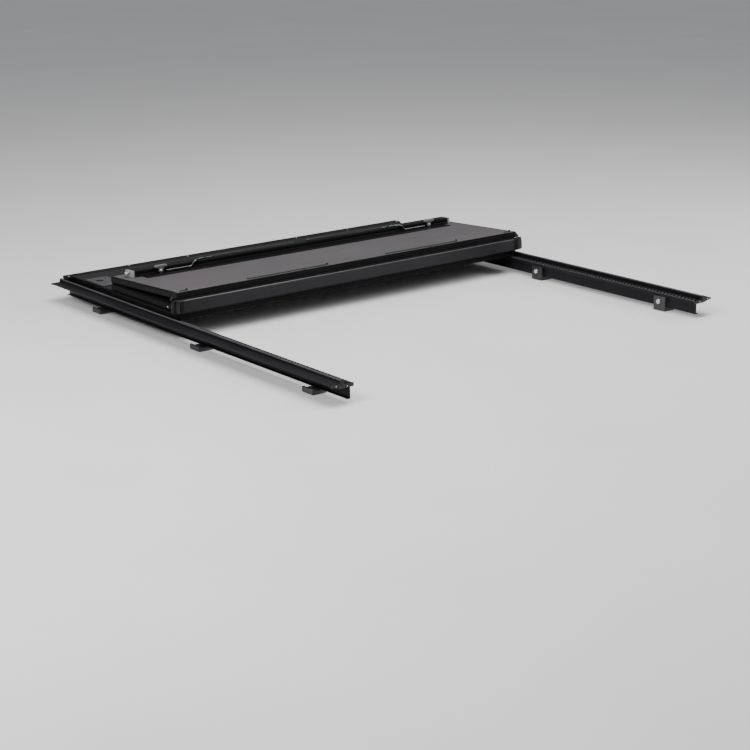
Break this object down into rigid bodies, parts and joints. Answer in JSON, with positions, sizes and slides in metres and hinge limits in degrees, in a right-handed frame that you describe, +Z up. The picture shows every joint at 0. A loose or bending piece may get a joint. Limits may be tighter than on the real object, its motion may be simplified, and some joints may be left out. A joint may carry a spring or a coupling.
{
  "type": "tonneau cover",
  "caption": "Hard folding pickup bed cover: aluminium-framed panels hinged on clamp-on side rails, folded in a stack at the cab end.",
  "frame": {"origin": "bottom centre of the bounding box: under the rail clamps, on the centreline, half way along the rails", "axes": "+X to the passenger side, +Y along the rails to the cab, +Z up"},
  "size_m": [1.58, 1.6086, 0.1688],
  "materials": {
    "rail_aluminium": "satin black powder coat on extruded aluminium",
    "black_aluminium": "satin black powder coat",
    "textured_black": "fine textured black",
    "grey_board": "matt grey fibre-reinforced skin",
    "black_rubber": "matt black rubber",
    "black_foam": "closed-cell foam",
    "black_plastic": "moulded black nylon",
    "grey_plastic": "moulded grey nylon",
    "bright_steel": "zinc-plated",
    "cast_clamp": "dark anodised"
  },
  "bodies": {
    "rails": {"side_rail_left": "rail_aluminium", "side_rail_right": "rail_aluminium", "rail_seal_left": "black_rubber", "rail_seal_right": "black_rubber", "rail_end_cap_left_tail": "black_plastic", "rail_end_cap_left_cab": "black_plastic", "rail_end_cap_right_tail": "black_plastic", "rail_end_cap_right_cab": "black_plastic", "rail_clamp_left_1": "cast_clamp", "rail_clamp_left_2": "cast_clamp", "rail_clamp_left_3": "cast_clamp", "rail_clamp_right_1": "cast_clamp", "rail_clamp_right_2": "cast_clamp", "rail_clamp_right_3": "cast_clamp", "clamp_bolt_left_1": "bright_steel", "clamp_bolt_left_2": "bright_steel", "clamp_bolt_left_3": "bright_steel", "clamp_bolt_right_1": "bright_steel", "clamp_bolt_right_2": "bright_steel", "clamp_bolt_right_3": "bright_steel", "panel_1_frame": "black_aluminium", "header_bar": "black_aluminium", "mounting_plate_left": "black_aluminium", "mounting_plate_right": "black_aluminium", "panel_1_board": "grey_board", "header_seal": "black_foam"},
    "panel_2": {"panel_2_frame": "black_aluminium", "panel_2_board": "grey_board", "panel_2_side_seal_left": "black_rubber", "panel_2_side_seal_right": "black_rubber", "hinge_rubber_d": "black_rubber", "hinge_rubber_a": "black_rubber"},
    "spacer": {"spacer_bar": "textured_black", "spacer_end_cap_left": "black_rubber", "spacer_end_cap_right": "black_rubber", "hinge_rubber_b": "black_rubber"},
    "panel_3": {"panel_3_frame": "black_aluminium", "panel_3_board": "grey_board", "panel_3_side_seal_left": "black_rubber", "panel_3_side_seal_right": "black_rubber", "latch_bar": "black_aluminium", "latch_base_plate": "black_aluminium", "latch_bar_end_left": "grey_plastic", "latch_bar_end_right": "grey_plastic", "edge_strip_left": "black_rubber", "edge_strip_right": "black_rubber", "hinge_rubber_c": "black_rubber", "panel_4_frame": "black_aluminium", "panel_4_board": "grey_board", "panel_4_side_seal_left": "black_rubber", "panel_4_side_seal_right": "black_rubber", "tail_seal": "black_rubber"},
    "latch_left": {"slide_bolt_left": "bright_steel", "release_rod_left": "bright_steel"},
    "latch_right": {"slide_bolt_right": "bright_steel", "release_rod_right": "bright_steel"},
    "lever_left": {"thumb_lever_left": "black_plastic"},
    "lever_right": {"thumb_lever_right": "black_plastic"},
    "tail_latch_left": {"tail_bolt_left": "bright_steel"},
    "tail_latch_right": {"tail_bolt_right": "bright_steel"}
  },
  "joints": [
    {"name": "stack_lift", "type": "hinge", "parent": "rails", "child": "panel_2", "pos_m": [0, 0.4915, 0.0865], "axis": [-1, 0, 0], "range_deg": [0, 80]},
    {"name": "fold_a_spacer", "type": "hinge", "parent": "panel_2", "child": "spacer", "pos_m": [0, 0.078, 0.085], "axis": [1, 0, 0], "range_deg": [0, 90]},
    {"name": "fold_b_panel_3", "type": "hinge", "parent": "spacer", "child": "panel_3", "pos_m": [0, 0.078, 0.132], "axis": [1, 0, 0], "range_deg": [0, 92.79]},
    {"name": "left_bolt_slide", "type": "slide", "parent": "panel_3", "child": "latch_left", "axis": [-1, 0, 0], "range_m": [0, 0.0105]},
    {"name": "left_lever", "type": "hinge", "parent": "panel_3", "child": "lever_left", "pos_m": [-0.588, 0.40124, 0.14963], "axis": [0, -0.9988, 0.0485], "range_deg": [0, 30.1]},
    {"name": "left_tail_bolt", "type": "slide", "parent": "panel_3", "child": "tail_latch_left", "axis": [-1, 0, 0], "range_m": [0, 0.008]},
    {"name": "right_bolt_slide", "type": "slide", "parent": "panel_3", "child": "latch_right", "axis": [1, 0, 0], "range_m": [0, 0.0105]},
    {"name": "right_lever", "type": "hinge", "parent": "panel_3", "child": "lever_right", "pos_m": [0.588, 0.40124, 0.14963], "axis": [0, 0.9988, -0.0485], "range_deg": [0, 30.1]},
    {"name": "right_tail_bolt", "type": "slide", "parent": "panel_3", "child": "tail_latch_right", "axis": [1, 0, 0], "range_m": [0, 0.008]}
  ],
  "couplings": [
    {"joint": "fold_b_panel_3", "follows": "fold_a_spacer", "ratio": 1.0309},
    {"joint": "left_lever", "follows": "left_bolt_slide", "rad_per_m": 50},
    {"joint": "right_lever", "follows": "right_bolt_slide", "rad_per_m": 50}
  ]
}
